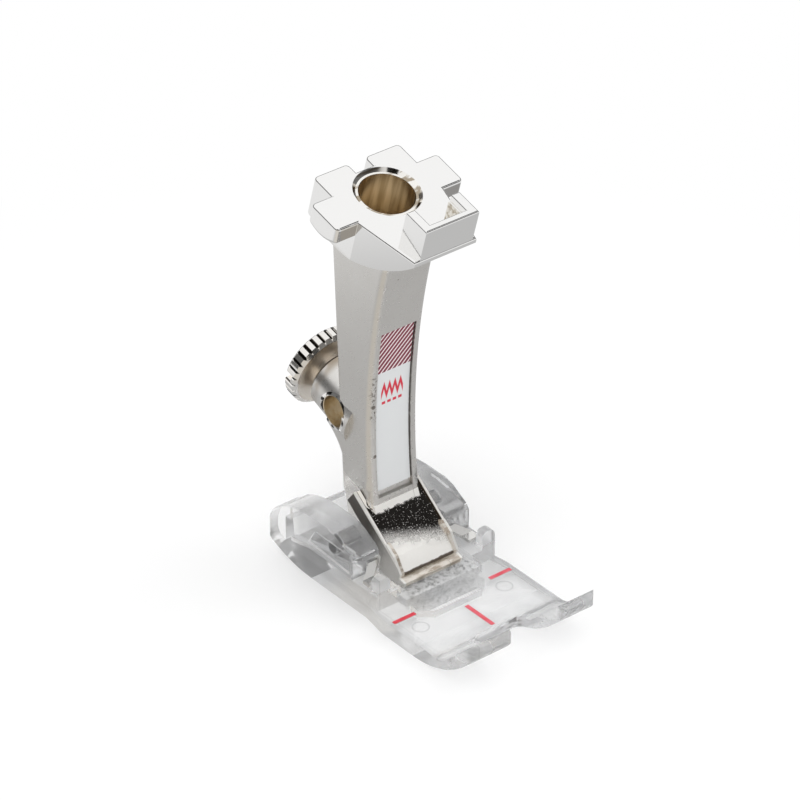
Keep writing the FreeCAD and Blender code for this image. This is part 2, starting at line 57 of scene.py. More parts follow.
# The shank leans towards the toes about the hinge pin
SHANK_LEAN = math.radians(15.46)
PIN_HEIGHT = 4.8 * MM
BORE_ABOVE_PIN = 37.83 * MM
BORE_BEHIND_PIN = 10.24 * MM

# Crown, in millimetres from the centre of the bore at the crown's top face
CROWN_FOOT = -5.3
BORE_RADIUS = 2.9
BORE_FOOT = -6.5
BORE_MOUTH = -0.42
RING_RADIUS = 3.56
POCKET_X = 2.1
POCKET_MIDDLE = -7.2
POCKET_HALF_LENGTH = 1.1
CLAW_FRONT = -2.2
CLAW_X = 5.4
CLAW_TOP = -0.3

# Neck and boss, from the same centre
NECK_FRONT = -4.0
CORNER_LINE = -2.62
SCRATCH_FOOT = -9.0
SCRATCH_HEAD = -5.8
SCUFF_MIDDLE = -21.4
SCUFF_HALF_HEIGHT = 2.0
PITS = (
    ((-2.41, -8.83, -28.11), 0.16),
    ((-3.05, -5.55, -11.6), 0.2),
    ((-2.6, -7.3, -22.4), 0.2),
    ((-1.2, -5.3, -7.0), 0.08),
)
PIT_EDGE = 0.08
RECESS_X = 2.22
BOSS_START = -0.4
BOSS_FULL = 0.8
BOSS_HALF_HEIGHT = 4.0
ROD_BACK = -2.75
ROD_HEIGHT = -26.7
ROD_RADIUS = 1.7
RIM_MIDDLE = ROD_RADIUS + 0.22
RIM_HALF_WIDTH = 0.15
RIM_X = 1.5

# Shoe, from the same centre, with lengths along its slope from its head
SHOE_HEAD_Z = -32.6
SHOE_TOP_Y = -10.6
SHOE_TOP_Z = -33.85
SHOE_SLOPE = math.radians(21.6)
SHOE_LIP_Y = -17.26
SHOE_LIP_Z = -37.07
SHOE_SIDE = 3.83
SHOE_FLANK_Z = -32.0
SHOE_RAIL_X = 3.5
SHOE_RAIL_LENGTH = 3.9
SHOE_EAR_X = 3.2
SHOE_EAR_START = 3.8
SHOE_STRIP_X = 2.85
SHOE_STRIP_LENGTH = 0.8
SHOE_STRIP_WAVE = 1.2
SEAM_REACH = 0.12
SEAM_WAVE = 0.5
SPECK_START = 0.2
WORN_START = 3.7
WORN_END = 5.9
WORN_TILT = 0.3
WORN_WAVE = 2.6
CRACKLE_START = 2.0
CRACKLE_END = 4.8
FLANK_START = 1.0
FLANK_END = 6.0
FLANK_WAVE = 3.0

# Clamp screw: radii about its axis, and where its knurl starts behind the bore's centre
SCREW_FACE_RADIUS = 3.95
KNURL_INSIDE = 4.2
KNURL_FLOOR = 4.42
KNURL_START = 2.62

# Label
LABEL_TOP = -13.9
HATCH_LENGTH = 4.95
HATCH_STRIPE = 0.66
MOTIF_X = -0.1
MOTIF_Z = -21.1
MOTIF_HALF_WIDTH = 1.4
ZIGZAG_PITCH = MOTIF_HALF_WIDTH / 2
ZIGZAG_HALF_HEIGHT = 0.6
STROKE_HALF = 0.13
STROKE_EDGE = 0.03
DASH_DROP = 1.45
DASH_PITCH = MOTIF_HALF_WIDTH / 2

# Sole, in millimetres of the part's frame
SOLE_TOP = 1.7
TOE_BEND_Y = -18.4
FINGER_X = 5.9
FINGER_REAR = -7.0
FINGER_FOOT = 3.4
CHEEK_LOW = 6.2
CHEEK_FIELD_X = 7.35
ARCH_FOOT = 2.8
ARCH_FRONT = -6.9
SIDE_X = 7.7
SIDE_TOP = 1.9
BAR_X = 4.2
BAR_Y = -8.15
BAR_HALF_DEPTH = 1.2
BAR_FRONT_Y = -9.4
STERN_Y = 5.0
EJECTOR_SPOTS = ((5.16, -12.66), (-5.93, -12.93))
EJECTOR_RADIUS = 0.85
RIGHT_OF_LEFT_MARK = -2.0

# Small rounds on sharp edges
SHANK_ROUND = 0.10 * MM
SOLE_ROUND = 0.14 * MM
ROUND_STEPS = 2
SHARP_ANGLE = math.radians(32)

# Round dark patches of the room, one that the shoe mirrors and one about the camera:
# direction, radius and soft edge in degrees
DARK_PATCHES = (
    ((0.530, -0.340, 0.777), 13.0, 3.0),
    ((-0.531, -0.654, 0.539), 13.0, 4.0),
)

# Dim side of the room and warm side of the floor: direction, and the cosines between which it fades in
ROOM_SIDE = (-0.63, -0.77, 0.0)
ROOM_SIDE_LIMITS = (-0.1, 0.6)
FLOOR_SIDE = (-0.777, -0.629, 0.0)
FLOOR_SIDE_LIMITS = (0.60, 0.95)

# Heights of directions: where the dim side ends, the dark belt, and the haze seen through the plastic
DIM_TOP = 0.75
DIM_FADE_FROM = 0.30
BELT_MIDDLE = 0.22
BELT_HALF = 0.24
BELT_DARKNESS = 0.86
HAZE_MIDDLE = 0.10
HAZE_HALF = 0.16
HAZE_DARKNESS = 0.75

# How strongly dirt, darkening and painted shade cover the metal, and how far worn plating turns from
# metal to dull
PIT_DIRT = 0.8
SCRATCH_DIRT = 0.5
CLAW_DARKENING = 0.55
WALL_DARKENING = 0.32
FLANK_SHADE_LEVELS = (0.95, 0.35)
WORN_DULLNESS = 0.75

# Roughness, single or as the ends of a range
NECK_ROUGHNESS = (0.26, 0.34)
CROWN_ROUGHNESS = 0.10
SHOE_ROUGHNESS = 0.07
WORN_ROUGHNESS = 0.42
HOLE_ROUGHNESS = 0.3
SCREW_RIM_ROUGHNESS = 0.10
SCREW_FACE_ROUGHNESS = 0.3
PIN_ROUGHNESS = 0.16
SPRING_ROUGHNESS = 0.14
PLATE_ROUGHNESS = 0.05
TOE_ROUGHNESS = (0.08, 0.3)
FROSTED_ROUGHNESS = 0.34
PRINT_ROUGHNESS = 0.4
FLOOR_ROUGHNESS = 0.9

# Colours of the shank, single or in pairs that noise mixes
NECK_PAIR = ((0.71, 0.69, 0.66, 1), (0.76, 0.745, 0.72, 1))
BOSS_TAN = (0.40, 0.34, 0.27, 1)
CROWN_SILVER = (0.90, 0.895, 0.885, 1)
WARM_SILVER = (0.86, 0.84, 0.81, 1)
GRIME_PAIR = ((0.46, 0.385, 0.31, 1), (0.84, 0.79, 0.72, 1))
WORN_PLATING = (0.90, 0.885, 0.85, 1)
# Dark brown: dirt in the neck's pits, painted shade along the shoe's rails, and darker lines at the lip
# seam, the claws and the recess wall
DIRT_AND_SHADE_BROWN = (0.14, 0.115, 0.09, 1)
# Painted shade on the shoe's flanks
FLANK_PAINTED_SHADE = (0.05, 0.042, 0.034, 1)
DUST_PAIR = ((0.44, 0.39, 0.31, 1), (0.80, 0.77, 0.71, 1))
# Painted reflection streaks: over brown on the bore's ring, black and white on the rod hole's rim
RING_BROWN_AND_REFLECTION = ((0.42, 0.36, 0.28, 1), (0.92, 0.90, 0.86, 1))
RIM_PAINTED_REFLECTION = ((0.05, 0.045, 0.04, 1), (0.96, 0.95, 0.93, 1))
BORE_PAIR = ((0.55, 0.45, 0.31, 1), (0.88, 0.77, 0.60, 1))
ROD_PAIR = ((0.78, 0.67, 0.50, 1), (1.0, 0.93, 0.80, 1))

# Colours of the screw, the pin and the spring
SCREW_FACE_PAIR = ((0.88, 0.80, 0.70, 1), (1.0, 0.96, 0.90, 1))
KNURL_PAINTED_SHADE = (0.09, 0.08, 0.07, 1)
PIN_GREY = (0.72, 0.71, 0.70, 1)
SPRING_GREY = (0.84, 0.83, 0.81, 1)

# Colours and optics of the clear plastic
PLATE_PAIR = ((0.84, 0.843, 0.847, 1), (0.90, 0.902, 0.905, 1))
TOE_PAIR = ((0.88, 0.883, 0.887, 1), (0.68, 0.683, 0.687, 1))
SIDE_GREY = (0.70, 0.703, 0.707, 1)
NEAR_WHITE = (0.98, 0.98, 0.98, 1)
LINE_GREY = (0.58, 0.585, 0.59, 1)
MOTTLE_DARK = (0.22, 0.22, 0.215, 1)
PLASTIC_INDEX = 1.40
PLASTIC_CLEARNESS = 0.84

# Colours of the prints
HATCH_PAIR = ((0.90, 0.78, 0.79, 1), (0.20, 0.02, 0.045, 1))
MOTIF_PAIR = ((0.74, 0.755, 0.76, 1), (0.66, 0.02, 0.05, 1))
PALE_RED_PAIR = ((0.74, 0.08, 0.11, 1), (0.80, 0.14, 0.18, 1))
DEEP_RED_PAIR = ((0.66, 0.03, 0.05, 1), (0.72, 0.06, 0.09, 1))

# Colours of the surroundings
WHITE = (1.0, 1.0, 1.0, 1.0)
FLOOR_WHITE = (0.97, 0.97, 0.97, 1)
FLOOR_WARM = (0.67, 0.64, 0.59, 1)
ROOM_DIM = (0.40, 0.39, 0.375, 1)
ROOM_DARK = (0.015, 0.014, 0.013, 1)
ROOM_LIGHT = (0.78, 0.78, 0.78, 1)
ROOM_HAZE = (0.45, 0.45, 0.46, 1)


def bore_to_part():
    """Matrix from the bore's frame to the part's frame."""
    to_pin = Matrix.Translation((0, BORE_BEHIND_PIN, BORE_ABOVE_PIN))
    lean = Matrix.Rotation(SHANK_LEAN, 4, "X")
    return Matrix.Translation((0, 0, PIN_HEIGHT)) @ lean @ to_pin


class Nodes:
    """Short hand for building one node tree."""

    def __init__(self, tree):
        self.tree = tree

    def add(self, kind, inputs=None, **settings):
        """A new node with its settings and with its inputs, each a value or another node's socket."""
        node = self.tree.nodes.new(kind)
        for name, value in settings.items():
            setattr(node, name, value)
        for name, value in (inputs or {}).items():
            self.set(node, name, value)
        return node

    def set(self, node, name, value):
        socket = node.inputs[name]
        if isinstance(value, bpy.types.NodeSocket):
            self.tree.links.new(value, socket)
        else:
            socket.default_value = value

    def link(self, out, socket):
        self.tree.links.new(out, socket)

    def math(self, operation, a, b=0.0):
        return self.add("ShaderNodeMath", {0: a, 1: b}, operation=operation).outputs[0]

    def vector_math(self, operation, a, b=(0, 0, 0)):
        return self.add("ShaderNodeVectorMath", {0: a, 1: b}, operation=operation).outputs

    def plus(self, a, b):
        return self.math("ADD", a, b)

    def minus(self, a, b):
        return self.math("SUBTRACT", a, b)

    def absolute(self, value):
        return self.math("ABSOLUTE", value)

    def under(self, value, limit):
        """One where a value is less than a limit."""
        return self.math("LESS_THAN", value, limit)

    def over(self, value, limit):
        """One where a value is more than a limit."""
        return self.math("GREATER_THAN", value, limit)

    def inverse(self, mask):
        return self.minus(1.0, mask)

    def times(self, *factors):
        result = factors[0]
        for factor in factors[1:]:
            result = self.math("MULTIPLY", result, factor)
        return result

    def either(self, *masks):
        result = masks[0]
        for mask in masks[1:]:
            result = self.math("MAXIMUM", result, mask)
        return result

    def mix(self, factor, a, b):
        """Mix of two colours."""
        return self.add("ShaderNodeMix", {0: factor, 6: a, 7: b}, data_type="RGBA").outputs[2]

    def blend(self, factor, a, b):
        """Mix of two numbers."""
        return self.add("ShaderNodeMix", {0: factor, 2: a, 3: b}, data_type="FLOAT").outputs[0]

    def paint(self, ground, *layers):
        """A colour with others laid over it, each where its mask is one."""
        for mask, colour in layers:
            ground = self.mix(mask, ground, colour)
        return ground

    def ramp(self, value, start, end, at_start=0.0, at_end=1.0):
        """Smooth step of a value from one limit to the other, which may be the lower one."""
        inputs = {0: value, 1: start, 2: end, 3: at_start, 4: at_end}
        return self.add("ShaderNodeMapRange", inputs, interpolation_type="SMOOTHSTEP").outputs[0]

    def band(self, value, centre, half, edge):
        """One near a centre value and nought beyond half plus edge from it."""
        away = self.absolute(self.minus(value, centre))
        return self.ramp(away, half + edge, half)

    def split(self, vector):
        return self.add("ShaderNodeSeparateXYZ", {0: vector}).outputs

    def combine(self, x, y=0.0, z=0.0):
        return self.add("ShaderNodeCombineXYZ", {0: x, 1: y, 2: z}).outputs[0]

    def scaled(self, vector, scale):
        """A vector with each part times its own factor."""
        return self.vector_math("MULTIPLY", vector, scale)[0]

    def distance(self, vector, point):
        return self.vector_math("DISTANCE", vector, point)["Value"]

    def length(self, vector):
        return self.vector_math("LENGTH", vector)["Value"]

    def dot(self, vector, direction):
        return self.vector_math("DOT_PRODUCT", vector, direction)["Value"]

    def noise(self, vector, scale, detail=3.0, roughness=0.5):
        inputs = {"Vector": vector, "Scale": scale, "Detail": detail, "Roughness": roughness}
        return self.add("ShaderNodeTexNoise", inputs).outputs[0]

    def patches(self, start, end, *noise):
        """Mask of the patches where noise is high: nought up to start and one from end on."""
        return self.ramp(self.noise(*noise), start, end)

    def bump(self, height, strength, distance):
        inputs = {"Strength": strength, "Distance": distance, "Height": height}
        return self.add("ShaderNodeBump", inputs).outputs[0]


def new_material(name):
    """A fresh material with its node helper and its shader."""
    material = bpy.data.materials.new(name)
    material.use_nodes = True
    shader = material.node_tree.nodes["Principled BSDF"]
    return material, Nodes(material.node_tree), shader


def new_group(name, outputs):
    """A node group without inputs, with its helper and its output node."""
    tree = bpy.data.node_groups.new(name, "ShaderNodeTree")
    for label, kind in outputs:
        tree.interface.new_socket(label, in_out="OUTPUT", socket_type=kind)
    nodes = Nodes(tree)
    return nodes, nodes.add("NodeGroupOutput")


def object_place(nodes):
    """A point in metres, in its object's own frame."""
    return nodes.add("ShaderNodeTexCoord").outputs["Object"]


def make_places():
    """Groups that give a point in millimetres: in the part's frame and in the bore's frame."""
    to_mm = (1 / MM, 1 / MM, 1 / MM)
    nodes, out = new_group("part place", [("Place", "NodeSocketVector")])
    nodes.link(nodes.scaled(object_place(nodes), to_mm), out.inputs[0])

    nodes, out = new_group("bore place", [("Place", "NodeSocketVector")])
    turn = bore_to_part().inverted()
    inputs = {"Vector": object_place(nodes), "Location": turn.to_translation(),
              "Rotation": turn.to_euler()}
    mapping = nodes.add("ShaderNodeMapping", inputs, vector_type="POINT")
    nodes.link(nodes.scaled(mapping.outputs[0], to_mm), out.inputs[0])


def place_from(nodes, group):
    """A point in millimetres from one of the two groups."""
    return nodes.add("ShaderNodeGroup", node_tree=bpy.data.node_groups[group]).outputs[0]


def read_place(nodes, group):
    """A point in millimetres: whole, in its three parts, and across from the centre plane."""
    point = place_from(nodes, group)
    x, y, z = nodes.split(point)
    return SimpleNamespace(point=point, x=x, y=y, z=z, across=nodes.absolute(x))


def shoe_place(nodes, at):
    """Distance along the shoe's sloping top from its head, distance out of it, and ragged noise."""
    ahead = nodes.minus(SHOE_TOP_Y, at.y)
    down = nodes.minus(SHOE_TOP_Z, at.z)
    sine = math.sin(SHOE_SLOPE)
    cosine = math.cos(SHOE_SLOPE)
    along = nodes.plus(nodes.times(ahead, cosine), nodes.times(down, sine))
    out = nodes.minus(nodes.times(ahead, sine), nodes.times(down, cosine))
    ragged = nodes.minus(nodes.noise(at.point, 2.2, 5.0, 0.75), 0.5)
    return SimpleNamespace(along=along, out=out, ragged=ragged)


def shoe_wear(nodes, at, on, shoe):
    """Masks of the beige ends, the worn plating, its specks and its crackled skin."""
    tilted = nodes.minus(on.along, nodes.times(at.x, WORN_TILT))
    down = nodes.plus(tilted, nodes.times(on.ragged, WORN_WAVE))
    nose = nodes.times(nodes.under(at.z, SHOE_LIP_Z + 0.1), nodes.under(at.y, SHOE_LIP_Y + 1.0))
    ear = nodes.times(shoe, nodes.over(at.across, SHOE_EAR_X), nodes.over(on.along, SHOE_EAR_START))
    beige = nodes.either(nose, ear)
    worn = nodes.times(shoe, nodes.ramp(down, WORN_START, WORN_END), nodes.inverse(beige))
    specks = nodes.times(shoe, nodes.over(on.along, SPECK_START),
                         nodes.patches(0.615, 0.67, at.point, 6.5, 2.0, 0.6))
    crackle = nodes.times(shoe, nodes.ramp(tilted, CRACKLE_START, CRACKLE_END),
                          nodes.noise(at.point, 3.0, 4.0, 0.7))
    return {"beige": beige, "worn": worn, "specks": specks, "crackle": crackle}


def shoe_lines(nodes, at, on, shoe):
    """Masks of the strip at the shoe's head, the seam at its lip, a painted shade line along its rails
    and painted shade on its flanks.
    """
    torn = nodes.plus(on.along, nodes.times(on.ragged, SHOE_STRIP_WAVE))
    strip = nodes.times(nodes.ramp(torn, SHOE_STRIP_LENGTH, SHOE_STRIP_LENGTH - 0.25),
                        nodes.under(at.z, SHOE_TOP_Z + 0.42), nodes.under(at.y, SHOE_TOP_Y + 0.7),
                        nodes.under(at.across, SHOE_STRIP_X))
    from_lip = nodes.distance(nodes.scaled(at.point, (0, 1, 1)), (0, SHOE_LIP_Y, SHOE_LIP_Z))
    frayed = nodes.plus(from_lip, nodes.times(on.ragged, SEAM_WAVE))
    seam = nodes.times(nodes.ramp(frayed, 2 * SEAM_REACH, SEAM_REACH),
                       nodes.under(at.across, SHOE_EAR_X))
    # Painted shade: a thin dark line along each rail
    rail = nodes.times(shoe, nodes.band(at.across, SHOE_RAIL_X, half=0.05, edge=0.05),
                       nodes.under(on.along, SHOE_RAIL_LENGTH))
    rail_top = nodes.times(shoe, nodes.over(at.across, SHOE_RAIL_X + 0.05))
    drift = nodes.plus(on.along, nodes.times(on.ragged, FLANK_WAVE))
    # Painted shade on the flanks, where the shoe sits in the dark cavity beside the sole
    flank = nodes.times(nodes.over(at.across, SHOE_SIDE - 0.03), nodes.under(at.z, SHOE_FLANK_Z),
                        nodes.ramp(on.out, -0.05, -0.2),
                        nodes.ramp(drift, FLANK_START, FLANK_END, *FLANK_SHADE_LEVELS))
    return {"strip": strip, "seam": seam, "rail": rail, "rail_top": rail_top, "flank": flank}


def shoe_masks(nodes, at):
    """Masks of the whole shoe and of what its plating shows between the head and the lip."""
    on = shoe_place(nodes, at)
    shoe = nodes.times(nodes.ramp(on.out, 0.55, 0.4), nodes.under(at.z, SHOE_HEAD_Z))
    wear = shoe_wear(nodes, at, on, shoe)
    lines = shoe_lines(nodes, at, on, shoe)
    return SimpleNamespace(whole=shoe, **wear, **lines)


def hole_masks(nodes, at):
    """Masks of the presser bar's bore, its ring, the guide rod's hole and that hole's rim."""
    reach = nodes.length(nodes.scaled(at.point, (1, 1, 0)))
    depth = nodes.times(nodes.under(at.z, BORE_MOUTH), nodes.over(at.z, BORE_FOOT))
    bore = nodes.times(nodes.under(reach, BORE_RADIUS + 0.06), depth)
    ring = nodes.times(nodes.under(reach, RING_RADIUS), nodes.under(at.z, -0.02),
                       nodes.over(at.z, BORE_MOUTH))
    from_rod = nodes.distance(nodes.scaled(at.point, (0, 1, 1)), (0, ROD_BACK, ROD_HEIGHT))
    rod = nodes.under(from_rod, ROD_RADIUS + 0.05)
    rim = nodes.times(nodes.band(from_rod, RIM_MIDDLE, half=RIM_HALF_WIDTH, edge=0.03),
                      nodes.over(at.across, RIM_X))
    return SimpleNamespace(bore=bore, ring=ring, rod=rod, rim=rim)


def crown_masks(nodes, at):
    """Masks of the crown, of the line on its side claws and of the pocket's dusty wall."""
    crown = nodes.ramp(at.z, CROWN_FOOT - 0.4, CROWN_FOOT + 0.6)
    # Darker line along the claws' front edge
    claw = nodes.times(nodes.band(at.y, CLAW_FRONT, half=0.05, edge=0.03),
                       nodes.over(at.across, CLAW_X), nodes.under(at.z, CLAW_TOP), CLAW_DARKENING)
    pocket = nodes.times(nodes.band(at.x, POCKET_X, half=0.04, edge=0.03), nodes.over(at.z, 0.05),
                         nodes.band(at.y, POCKET_MIDDLE, half=POCKET_HALF_LENGTH, edge=0.08))
    return SimpleNamespace(whole=crown, claw=claw, pocket=pocket)


def neck_pits(nodes, at):
    """Small dark pits and scratches that lie along the neck's front left corner."""
    front = nodes.times(nodes.under(at.y, NECK_FRONT), nodes.under(at.z, CROWN_FOOT + 2))
    wander = nodes.minus(nodes.noise(nodes.scaled(at.point, (0, 0, 1)), 0.5), 0.5)
    from_line = nodes.absolute(nodes.minus(nodes.minus(at.x, CORNER_LINE), wander))
    patchy = nodes.patches(0.50, 0.60, nodes.scaled(at.point, (1, 1, 0.6)), 1.1, 2.0)
    scratch = nodes.times(nodes.ramp(from_line, 0.16, 0.03), patchy,
                          nodes.ramp(at.z, SCRATCH_FOOT, SCRATCH_HEAD), SCRATCH_DIRT)
    scuff = nodes.times(nodes.ramp(from_line, 0.45, 0.1),
                        nodes.band(at.z, SCUFF_MIDDLE, half=SCUFF_HALF_HEIGHT, edge=1.2),
                        nodes.patches(0.52, 0.62, at.point, 4.5))
    pits = [nodes.ramp(nodes.distance(at.point, spot), size + PIT_EDGE, size) for spot, size in PITS]
    return nodes.times(front, nodes.either(scratch, scuff, *pits))


def neck_masks(nodes, at):
    """Masks of the neck's pits, of the label recess's dark wall and of the boss."""
    pits = nodes.times(neck_pits(nodes, at), PIT_DIRT)
    # Darker patches on the label recess's wall
    wall = nodes.times(nodes.band(at.x, RECESS_X, half=0.03, edge=0.03),
                       nodes.patches(0.34, 0.5, at.point, 1.2, 4.0),
                       nodes.under(at.y, NECK_FRONT), nodes.under(at.z, LABEL_TOP), WALL_DARKENING)
    boss = nodes.times(nodes.ramp(at.y, BOSS_START, BOSS_FULL),
                       nodes.band(at.z, ROD_HEIGHT, half=BOSS_HALF_HEIGHT, edge=0.6))
    return SimpleNamespace(pits=pits, wall=wall, boss=boss)


def shank_tone(nodes, at, crown, neck, shoe, holes):
    """Colour of the casting: neck first, then the crown, the shoe, the dirt and painted shade, and the
    holes with painted reflections on the ring and rim.
    """
    cloud = nodes.noise(at.point, 0.35)
    grime = nodes.patches(0.38, 0.62, nodes.scaled(at.point, (0.5, 1.6, 1.6)), 1.0, 4.0, 0.6)
    dust = nodes.patches(0.40, 0.60, at.point, 1.8, 4.0)
    reflection_streaks = nodes.patches(0.40, 0.52, nodes.scaled(at.point, (0, 1, 1)), 1.3)
    streaks = nodes.patches(0.35, 0.65, nodes.scaled(at.point, (1.6, 1.6, 0.08)), 1.0)
    return nodes.paint(
        nodes.mix(cloud, *NECK_PAIR),
        (nodes.times(neck.boss, nodes.ramp(cloud, 0.3, 0.6)), BOSS_TAN),
        (crown.whole, CROWN_SILVER),
        (shoe.whole, WARM_SILVER),
        (shoe.beige, nodes.mix(grime, *GRIME_PAIR)),
        (nodes.either(shoe.worn, shoe.specks, shoe.strip, shoe.rail_top), WORN_PLATING),
        # Dark brown: dirt in the pits, painted shade on the rails, darker lines at the seam, claws and
        # recess wall
        (nodes.either(shoe.seam, neck.pits, shoe.rail, crown.claw, neck.wall), DIRT_AND_SHADE_BROWN),
        # Painted shade on the shoe's flanks
        (shoe.flank, FLANK_PAINTED_SHADE),
        (crown.pocket, nodes.mix(dust, *DUST_PAIR)),
        # Painted reflections on the bore's ring and the rod hole's rim
        (holes.ring, nodes.mix(reflection_streaks, *RING_BROWN_AND_REFLECTION)),
        (holes.rim, nodes.mix(reflection_streaks, *RIM_PAINTED_REFLECTION)),
        (holes.bore, nodes.mix(streaks, *BORE_PAIR)),
        (holes.rod, nodes.mix(streaks, *ROD_PAIR)),
    )


def shank_roughness(nodes, grain, crown, shoe, holes):
    """Roughness of the casting, in the same order as its colour."""
    matt = nodes.either(shoe.worn, shoe.specks, shoe.beige, shoe.strip, shoe.rail_top)
    rough = nodes.blend(crown.whole, nodes.ramp(grain, 0.3, 0.7, *NECK_ROUGHNESS), CROWN_ROUGHNESS)
    rough = nodes.blend(nodes.either(shoe.whole, holes.rim), rough, SHOE_ROUGHNESS)
    rough = nodes.blend(matt, rough, WORN_ROUGHNESS)
    return nodes.blend(nodes.either(holes.bore, holes.rod), rough, HOLE_ROUGHNESS)


def nickel_shank():
    """Plated casting: polished crown, satin neck with pits, mirror shoe with a rough front."""
    material, nodes, shader = new_material("nickel shank")
    at = read_place(nodes, "bore place")
    crown = crown_masks(nodes, at)
    neck = neck_masks(nodes, at)
    shoe = shoe_masks(nodes, at)
    holes = hole_masks(nodes, at)
    grain = nodes.noise(at.point, 1.6, 6.0, 0.7)
    nodes.link(shank_tone(nodes, at, crown, neck, shoe, holes), shader.inputs["Base Color"])
    nodes.link(shank_roughness(nodes, grain, crown, shoe, holes), shader.inputs["Roughness"])

    dull = nodes.either(shoe.strip, shoe.worn, nodes.times(shoe.rail_top, 0.6),
                        nodes.times(shoe.beige, 0.5))
    nodes.link(nodes.inverse(nodes.times(dull, WORN_DULLNESS)), shader.inputs["Metallic"])
    satin = nodes.times(nodes.inverse(nodes.either(crown.whole, shoe.whole)), grain, 0.002)
    height = nodes.plus(nodes.times(shoe.crackle, 0.9), satin)
    nodes.link(nodes.bump(height, strength=0.35, distance=0.2 * MM), shader.inputs["Normal"])
    return material


def screw_nickel():
    """Polished rim with a duller, warmer face, fine turning marks and painted shade in the knurl's
    grooves.
    """
    material, nodes, shader = new_material("screw nickel")
    place = place_from(nodes, "bore place")
    reach = nodes.distance(nodes.scaled(place, (1, 0, 1)), (0, 0, ROD_HEIGHT))
    face = nodes.ramp(reach, SCREW_FACE_RADIUS + 0.2, SCREW_FACE_RADIUS)
    rings = nodes.noise(nodes.combine(reach), 5.0)
    behind = nodes.over(nodes.split(place)[1], KNURL_START)
    # Painted shade in the knurl's grooves
    groove_shade = nodes.times(nodes.ramp(reach, KNURL_FLOOR + 0.04, KNURL_FLOOR - 0.04), behind,
                         nodes.over(reach, KNURL_INSIDE))
    tone = nodes.paint(WARM_SILVER, (groove_shade, KNURL_PAINTED_SHADE), (face, nodes.mix(rings, *SCREW_FACE_PAIR)))
    nodes.link(tone, shader.inputs["Base Color"])
    rough = nodes.blend(face, SCREW_RIM_ROUGHNESS, SCREW_FACE_ROUGHNESS)
    nodes.link(rough, shader.inputs["Roughness"])
    shader.inputs["Metallic"].default_value = 1.0
    nodes.link(nodes.bump(rings, strength=0.1, distance=0.1 * MM), shader.inputs["Normal"])
    return material


def steel(name, tone, roughness):
    """Bright steel with fine brushing along the part."""
    material, nodes, shader = new_material(name)
    place = place_from(nodes, "part place")
    brushed = nodes.noise(nodes.scaled(place, (6.0, 0.7, 6.0)), 1.0)
    dark = tuple(0.8 * part for part in tone[:3]) + (1,)
    nodes.link(nodes.mix(brushed, dark, tone), shader.inputs["Base Color"])
    rough = nodes.ramp(brushed, 0.3, 0.7, roughness * 0.8, roughness * 1.3)
    nodes.link(rough, shader.inputs["Roughness"])
    shader.inputs["Metallic"].default_value = 1.0
    return material


def sole_lines(nodes, at):
    """Masks of the ejector rings, the cheeks' field, the bar's bright front and its mottled top."""
    flat = nodes.scaled(at.point, (1, 1, 0))
    circles = [nodes.band(nodes.distance(flat, spot + (0,)), EJECTOR_RADIUS, half=0.05, edge=0.05)
               for spot in EJECTOR_SPOTS]
    ring = nodes.times(nodes.band(at.z, SOLE_TOP, half=0.05, edge=0.02), nodes.either(*circles))
    field = nodes.band(at.across, CHEEK_FIELD_X, half=0.03, edge=0.02)
    glint = nodes.times(nodes.band(at.y, BAR_FRONT_Y, half=0.06, edge=0.04),
                        nodes.ramp(at.across, BAR_X + 0.2, BAR_X),
                        nodes.ramp(at.z, SOLE_TOP, SOLE_TOP + 0.1))
    bar = nodes.times(nodes.band(at.y, BAR_Y, half=BAR_HALF_DEPTH, edge=0.1),
                      nodes.ramp(at.across, BAR_X + 0.3, BAR_X))
    mottle = nodes.times(bar, nodes.patches(0.47, 0.6, at.point, 2.0, 6.0, 0.75))
    return {"ring": ring, "field": field, "glint": glint, "mottle": mottle}


def sole_masks(nodes, at):
    """Masks of the moulding's frosted places, toes, stern and shaded sides, and of its lines."""
    finger = nodes.times(nodes.over(at.across, FINGER_X), nodes.under(at.y, FINGER_REAR),
                         nodes.ramp(at.z, FINGER_FOOT, FINGER_FOOT + 0.6))
    cheek = nodes.times(nodes.ramp(at.z, CHEEK_LOW, CHEEK_LOW + 0.8), nodes.over(at.y, FINGER_REAR), 0.5)
    toe = nodes.ramp(at.y, TOE_BEND_Y + 0.6, TOE_BEND_Y - 1.6)
    stern = nodes.ramp(at.y, STERN_Y - 1.0, STERN_Y + 1.0)
    side = nodes.times(nodes.ramp(at.across, SIDE_X - 0.2, SIDE_X),
                       nodes.ramp(at.z, SIDE_TOP + 0.3, SIDE_TOP))
    arch = nodes.times(nodes.ramp(at.z, ARCH_FOOT, ARCH_FOOT + 0.8),
                       nodes.ramp(at.y, ARCH_FRONT, ARCH_FRONT + 0.5))
    shade = nodes.times(nodes.either(side, arch), nodes.inverse(stern), nodes.inverse(finger))
    return SimpleNamespace(frosted=nodes.either(finger, cheek), toe=toe, stern=stern, shade=shade,
                           **sole_lines(nodes, at))


def plastic_tone(nodes, sole, flow, streaks):
    """Colour of the moulding: plate first, then the toes, the sides, the pale places and the lines."""
    return nodes.paint(
        nodes.mix(nodes.ramp(flow, 0.35, 0.65), *PLATE_PAIR),
        (sole.toe, nodes.mix(nodes.ramp(streaks, 0.4, 0.62), *TOE_PAIR)),
        (sole.shade, SIDE_GREY),
        (nodes.either(sole.stern, sole.glint), NEAR_WHITE),
        (nodes.either(sole.ring, sole.field), LINE_GREY),
        (sole.mottle, MOTTLE_DARK),
    )


